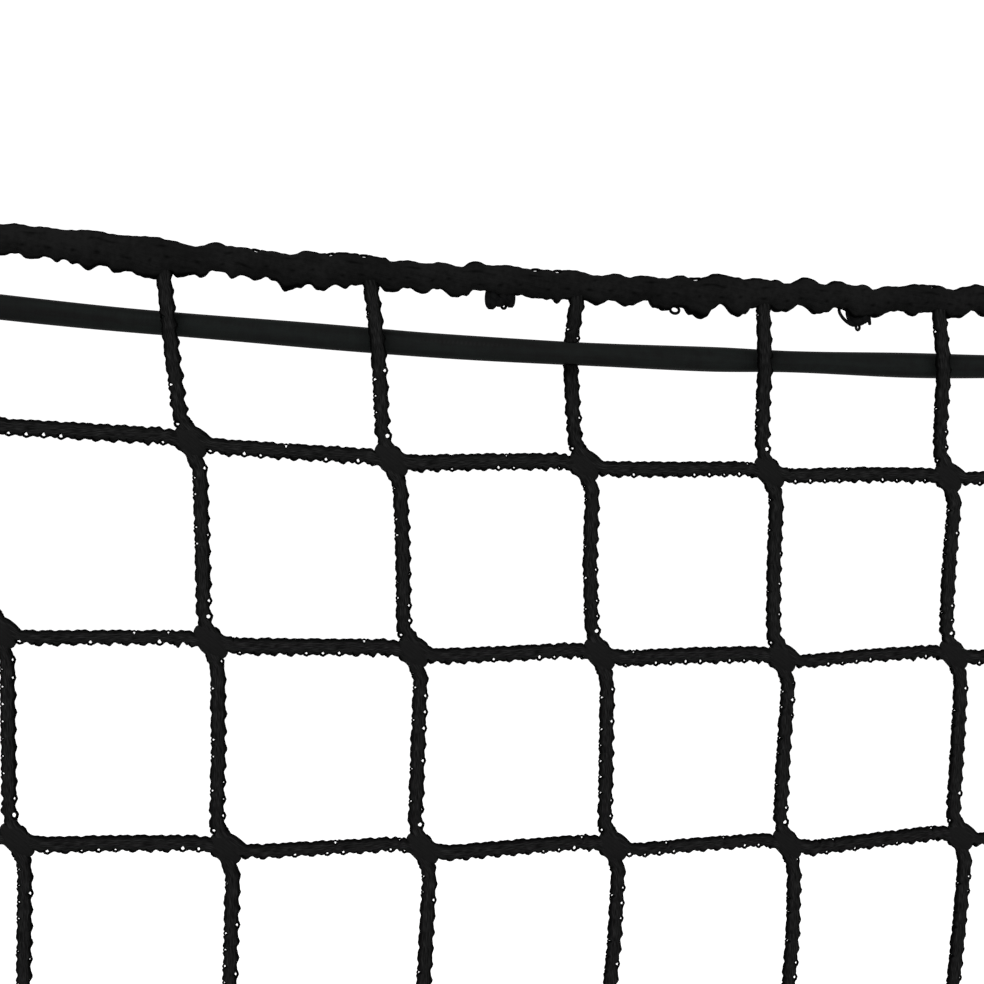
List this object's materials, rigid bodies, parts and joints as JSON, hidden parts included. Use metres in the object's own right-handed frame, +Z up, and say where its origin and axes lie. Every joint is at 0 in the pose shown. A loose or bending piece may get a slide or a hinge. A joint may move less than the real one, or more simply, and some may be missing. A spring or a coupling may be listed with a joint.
{
  "type": "cargo net with border rope and threaded elastic cord",
  "caption": "Knotless square-mesh cargo net hanging from a lumpy sewn border rope, with a smooth elastic cord threaded through its top meshes and knotted at both ends.",
  "frame": {"origin": "on top of the border rope, at the middle of its length, where the net is held up", "axes": "+X along the top edge to the viewer's right, +Y away from the viewer, +Z up; the net hangs in the XZ plane"},
  "size_m": [0.5274, 0.0201, 0.332],
  "materials": {
    "twine": "knitted polypropylene twine, near black, matt with a faint sheen on each loop",
    "border": "overlocked rope of the same yarn, near black, matt and fuzzy",
    "cord": "smooth close sheath over an elastic core, near black with a faint green-grey cast, satin"
  },
  "bodies": {
    "root": {"net_panel": "twine", "border_rope": "border", "elastic_cord": "cord", "cord_knot_left": "cord", "cord_knot_right": "cord"}
  },
  "joints": []
}
